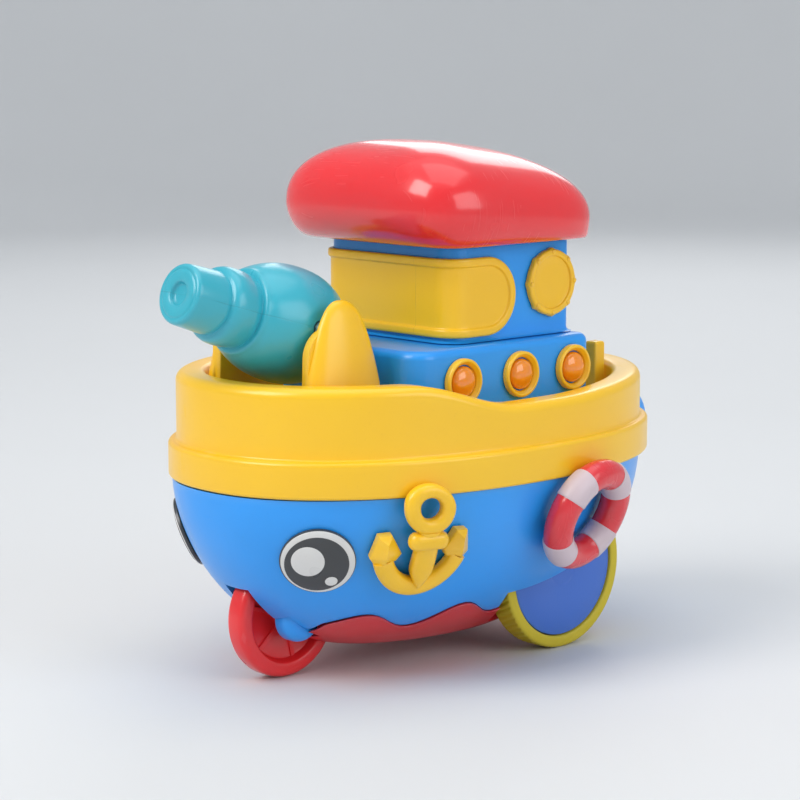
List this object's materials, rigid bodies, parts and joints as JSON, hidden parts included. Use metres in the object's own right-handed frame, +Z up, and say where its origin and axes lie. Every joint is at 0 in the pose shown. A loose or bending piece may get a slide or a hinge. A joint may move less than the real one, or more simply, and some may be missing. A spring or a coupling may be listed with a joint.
{
  "type": "toy boat",
  "caption": "Press-and-go toy boat: pressing the roof winds the geared rear axle, with a free front wheel and a tilting deck cannon.",
  "frame": {"origin": "on the ground, under the middle of the boat's bounding box", "axes": "+X to the bow, +Y to port, +Z up; the three wheels stand on Z = 0"},
  "size_m": [0.1721, 0.1182, 0.142],
  "materials": {
    "hull_blue": "moulded ABS, soft gloss",
    "keel_red": "moulded ABS, soft gloss",
    "roof_red": "moulded ABS, high gloss",
    "wheel_red": "moulded ABS, gloss",
    "trim_yellow": "moulded ABS, soft gloss",
    "lens_orange": "clear-tinted domes, high gloss",
    "tyre_yellow": "soft grip ring with a fine tread",
    "disc_blue": "moulded ABS, satin",
    "buoy_red": "red ring with pale bands",
    "eye_white": "printed ovals, gloss",
    "cannon_cyan": "moulded ABS, soft gloss",
    "steel": "plain bright steel",
    "nylon": "natural nylon"
  },
  "bodies": {
    "hull": {"anchor_port": "trim_yellow", "anchor_starboard": "trim_yellow", "bridge": "hull_blue", "cannon_cheek_port": "trim_yellow", "cannon_cheek_starboard": "trim_yellow", "deck_bulwark": "trim_yellow", "deckhouse": "hull_blue", "eye_port": "eye_white", "eye_starboard": "eye_white", "front_axle": "steel", "front_fork": "hull_blue", "gearbox_plate_port": "nylon", "gearbox_plate_starboard": "nylon", "hull_shell": "hull_blue", "idler_shaft": "steel", "input_shaft": "steel", "keel_plate": "keel_red", "keel_screw_1": "steel", "keel_screw_2": "steel", "keel_screw_3": "steel", "lens_port_1": "lens_orange", "lens_port_2": "lens_orange", "lens_port_3": "lens_orange", "lens_starboard_1": "lens_orange", "lens_starboard_2": "lens_orange", "lens_starboard_3": "lens_orange", "lifebuoy_port": "buoy_red", "lifebuoy_starboard": "buoy_red", "plunger_guide": "nylon", "porthole_port_1": "trim_yellow", "porthole_port_2": "trim_yellow", "porthole_port_3": "trim_yellow", "porthole_starboard_1": "trim_yellow", "porthole_starboard_2": "trim_yellow", "porthole_starboard_3": "trim_yellow", "press_spring": "steel", "round_window_port": "trim_yellow", "round_window_starboard": "trim_yellow", "stern_bitt_port": "trim_yellow", "stern_bitt_starboard": "trim_yellow", "stern_fin": "hull_blue", "wrap_window": "trim_yellow"},
    "roof": {"roof_cap": "roof_red", "press_rack": "nylon"},
    "input_gear": {"input_gear": "nylon"},
    "clutch_gear": {"clutch_gear": "nylon"},
    "idler_gear": {"idler_gear": "nylon"},
    "flywheel": {"flywheel": "steel", "flywheel_arbor": "steel"},
    "rear_axle": {"rear_axle": "steel", "axle_gear": "nylon", "rear_wheel_port": "disc_blue", "rear_wheel_starboard": "disc_blue", "rear_tyre_port": "tyre_yellow", "rear_tyre_starboard": "tyre_yellow"},
    "front_wheel": {"front_wheel": "wheel_red"},
    "cannon": {"cannon_barrel": "cannon_cyan", "trunnion_pin_port": "steel", "trunnion_pin_starboard": "steel"}
  },
  "joints": [
    {"name": "roof_press", "type": "slide", "parent": "hull", "child": "roof", "axis": [0, 0, -1], "range_m": [0, 0.007], "stiffness_N_per_m": 150, "springref_m": -0.006, "deforming": ["press_spring"]},
    {"name": "input_spin", "type": "hinge", "parent": "hull", "child": "input_gear", "pos_m": [-0.0025, 0, 0.0445], "axis": [0, 1, 0], "range_deg": [-90.13, 1]},
    {"name": "clutch_spin", "type": "hinge", "parent": "hull", "child": "clutch_gear", "pos_m": [-0.01405, 0, 0.03752], "axis": [0, 1, 0], "range_deg": [-2.8, 247.85]},
    {"name": "rear_axle_spin", "type": "hinge", "parent": "hull", "child": "rear_axle", "pos_m": [-0.0267, 0, 0.0227], "axis": [0, 1, 0], "continuous": true},
    {"name": "idler_spin", "type": "hinge", "parent": "hull", "child": "idler_gear", "pos_m": [-0.0141, 0, 0.0227], "axis": [0, 1, 0], "continuous": true},
    {"name": "flywheel_spin", "type": "hinge", "parent": "hull", "child": "flywheel", "pos_m": [-0.00206, 0, 0.02642], "axis": [0, 1, 0], "continuous": true},
    {"name": "front_wheel_spin", "type": "hinge", "parent": "hull", "child": "front_wheel", "pos_m": [0.0506, 0, 0.0169], "axis": [0, 1, 0], "continuous": true},
    {"name": "cannon_tilt", "type": "hinge", "parent": "hull", "child": "cannon", "pos_m": [0.0501, 0, 0.0953], "axis": [0, -1, 0], "range_deg": [-15, 25]}
  ],
  "couplings": [
    {"joint": "input_spin", "follows": "roof_press", "rad_per_m": -222.22},
    {"joint": "clutch_spin", "follows": "roof_press", "rad_per_m": 611.11},
    {"joint": "idler_spin", "follows": "rear_axle_spin", "ratio": -2.5},
    {"joint": "flywheel_spin", "follows": "rear_axle_spin", "ratio": 6.25}
  ]
}
